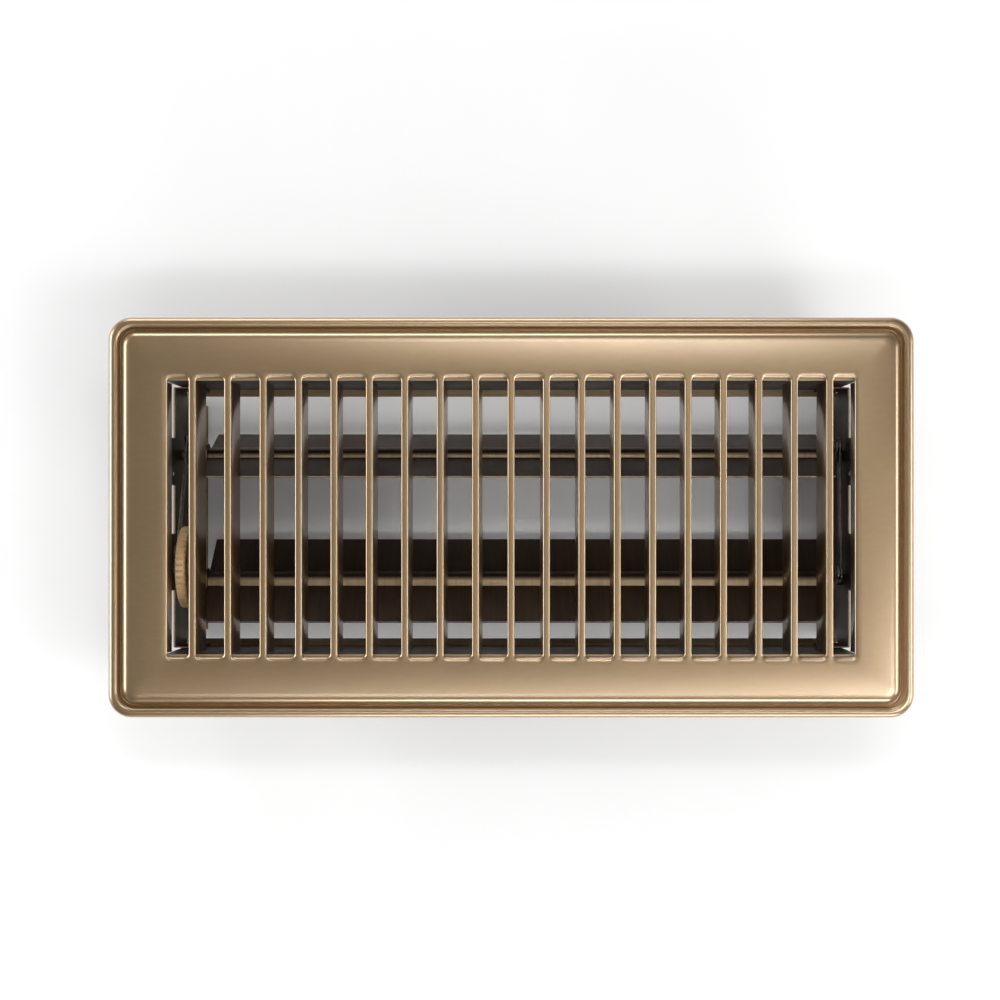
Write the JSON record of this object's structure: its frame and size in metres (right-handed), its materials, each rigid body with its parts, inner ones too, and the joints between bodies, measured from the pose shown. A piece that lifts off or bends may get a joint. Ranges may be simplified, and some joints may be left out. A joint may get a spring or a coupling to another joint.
{
  "type": "louvred floor register",
  "caption": "Stamped steel floor register: a louvred faceplate on an open sheet-metal neck, with a two-blade damper turned by a thumbwheel at one end.",
  "frame": {"origin": "centre of the plan at the height of the feet: the underside of the two end plates, z = 0", "axes": "+X along the faceplate away from the thumbwheel, +Y across it towards the rear blade, +Z out of the louvred face"},
  "size_m": [0.29, 0.144, 0.06],
  "materials": {
    "bronze_paint": "satin metallic bronze paint",
    "dark_paint": "thin dark brown paint over the neck",
    "blade_paint": "dark brown paint, thinner than on the face",
    "tan_plastic": "moulded tan plastic, knurled rim",
    "zinc_plate": "dull zinc plate",
    "spring_steel": "bare spring steel"
  },
  "bodies": {
    "register_frame": {"faceplate": "bronze_paint", "end_plate_left": "dark_paint", "end_plate_right": "dark_paint", "side_rail_front": "dark_paint", "side_rail_rear": "dark_paint", "wheel_stud": "zinc_plate", "wheel_spring_washer": "spring_steel", "wheel_push_nut": "zinc_plate", "front_pivot_pin_left": "zinc_plate", "front_pivot_pin_right": "zinc_plate", "rear_pivot_pin_left": "zinc_plate", "rear_pivot_pin_right": "zinc_plate"},
    "wheel": {"thumbwheel": "tan_plastic", "drive_link_clip": "zinc_plate"},
    "rear_damper": {"rear_blade": "blade_paint", "rear_crank_left": "zinc_plate", "rear_crank_right": "zinc_plate", "drive_link_rivet": "zinc_plate", "tie_link_rivet_rear": "zinc_plate"},
    "front_damper": {"front_blade": "blade_paint", "front_crank_right": "zinc_plate", "tie_link_rivet_front": "zinc_plate"},
    "drive_bar": {"drive_link": "zinc_plate"},
    "tie_bar": {"tie_link": "zinc_plate"}
  },
  "joints": [
    {"name": "wheel_turn", "type": "hinge", "parent": "register_frame", "child": "wheel", "pos_m": [-0.1193, -0.0182, 0.043], "axis": [-1, 0, 0], "range_deg": [-68, 14]},
    {"name": "rear_blade_tilt", "type": "hinge", "parent": "register_frame", "child": "rear_damper", "pos_m": [0, 0.0236, 0.025], "axis": [-1, 0, 0], "range_deg": [-68, 14]},
    {"name": "front_blade_tilt", "type": "hinge", "parent": "register_frame", "child": "front_damper", "pos_m": [0, -0.0236, 0.025], "axis": [-1, 0, 0], "range_deg": [-50, 10.5]},
    {"name": "drive_link_swing", "type": "hinge", "parent": "wheel", "child": "drive_bar", "pos_m": [-0.12185, -0.01243, 0.04779], "axis": [-1, 0, 0], "range_deg": [-14, 68]},
    {"name": "tie_link_swing", "type": "hinge", "parent": "front_damper", "child": "tie_bar", "pos_m": [0.12275, -0.02018, 0.0344], "axis": [-1, 0, 0], "range_deg": [-10.5, 50]}
  ],
  "couplings": [
    {"joint": "rear_blade_tilt", "follows": "wheel_turn", "ratio": 1},
    {"joint": "front_blade_tilt", "follows": "wheel_turn", "ratio": 0.735},
    {"joint": "drive_link_swing", "follows": "wheel_turn", "ratio": -1},
    {"joint": "tie_link_swing", "follows": "wheel_turn", "ratio": -0.735}
  ]
}
